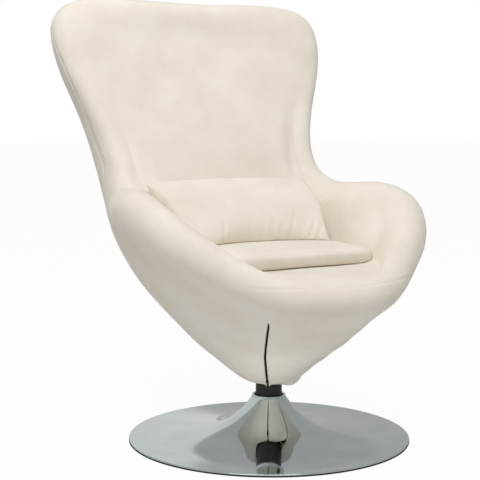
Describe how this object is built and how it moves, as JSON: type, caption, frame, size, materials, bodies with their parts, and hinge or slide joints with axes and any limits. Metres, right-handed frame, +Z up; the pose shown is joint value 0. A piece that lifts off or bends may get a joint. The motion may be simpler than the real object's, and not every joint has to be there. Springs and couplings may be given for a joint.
{
  "type": "swivel egg chair",
  "caption": "Upholstered egg-shaped lounge chair with winged back, loose seat pad and lumbar pillow, turning on a chromed trumpet base",
  "frame": {"origin": "on the floor at the centre of the round base, on the axis the seat turns about", "axes": "+Z up, the chair faces -Y, +X is the sitter's left"},
  "size_m": [0.7154, 0.791, 0.9874],
  "materials": {
    "upholstery": "cream velvet with a soft short pile",
    "chrome": "mirror polished",
    "black_rubber": "matt",
    "black_sleeve": "satin black",
    "black_steel": "black paint",
    "zinc_steel": "zinc plated",
    "nylon": "natural nylon",
    "plywood": "raw birch plywood",
    "moulded_shell": "rough moulded laminate",
    "zip_tape": "black coil and tape",
    "zip_metal": "black enamel"
  },
  "bodies": {
    "base": {"trumpet_base": "chrome", "base_edge_trim": "black_rubber", "ballast_plate": "black_steel", "column_bolt": "zinc_steel", "column_tube": "black_steel", "column_sleeve": "black_sleeve", "column_liner": "nylon"},
    "seat": {"spindle_circlip": "zinc_steel", "seat_plate": "black_steel", "hem_ring": "plywood", "hem_panel": "upholstery", "shell_frame": "moulded_shell", "outer_padding": "upholstery", "rim_roll": "upholstery", "seat_padding": "upholstery", "back_padding": "upholstery", "left_arm_padding": "upholstery", "right_arm_padding": "upholstery", "seat_board": "plywood", "zip_left": "zip_tape", "zip_right": "zip_tape", "zip_slider_left": "zip_metal", "zip_slider_right": "zip_metal"},
    "seat_pad": {"seat_pad": "upholstery"},
    "lumbar_pillow": {"lumbar_pillow": "upholstery"}
  },
  "joints": [
    {"name": "seat_swivel", "type": "hinge", "parent": "base", "child": "seat", "pos_m": [0, 0, 0.14], "axis": [0, 0, 1], "continuous": true},
    {"name": "seat_pad_lift", "type": "slide", "parent": "seat", "child": "seat_pad", "axis": [0, 0, 1], "range_m": [0, 0.2]},
    {"name": "lumbar_pillow_lift", "type": "slide", "parent": "seat_pad", "child": "lumbar_pillow", "axis": [0, -0.5, 0.866], "range_m": [0, 0.25]}
  ]
}
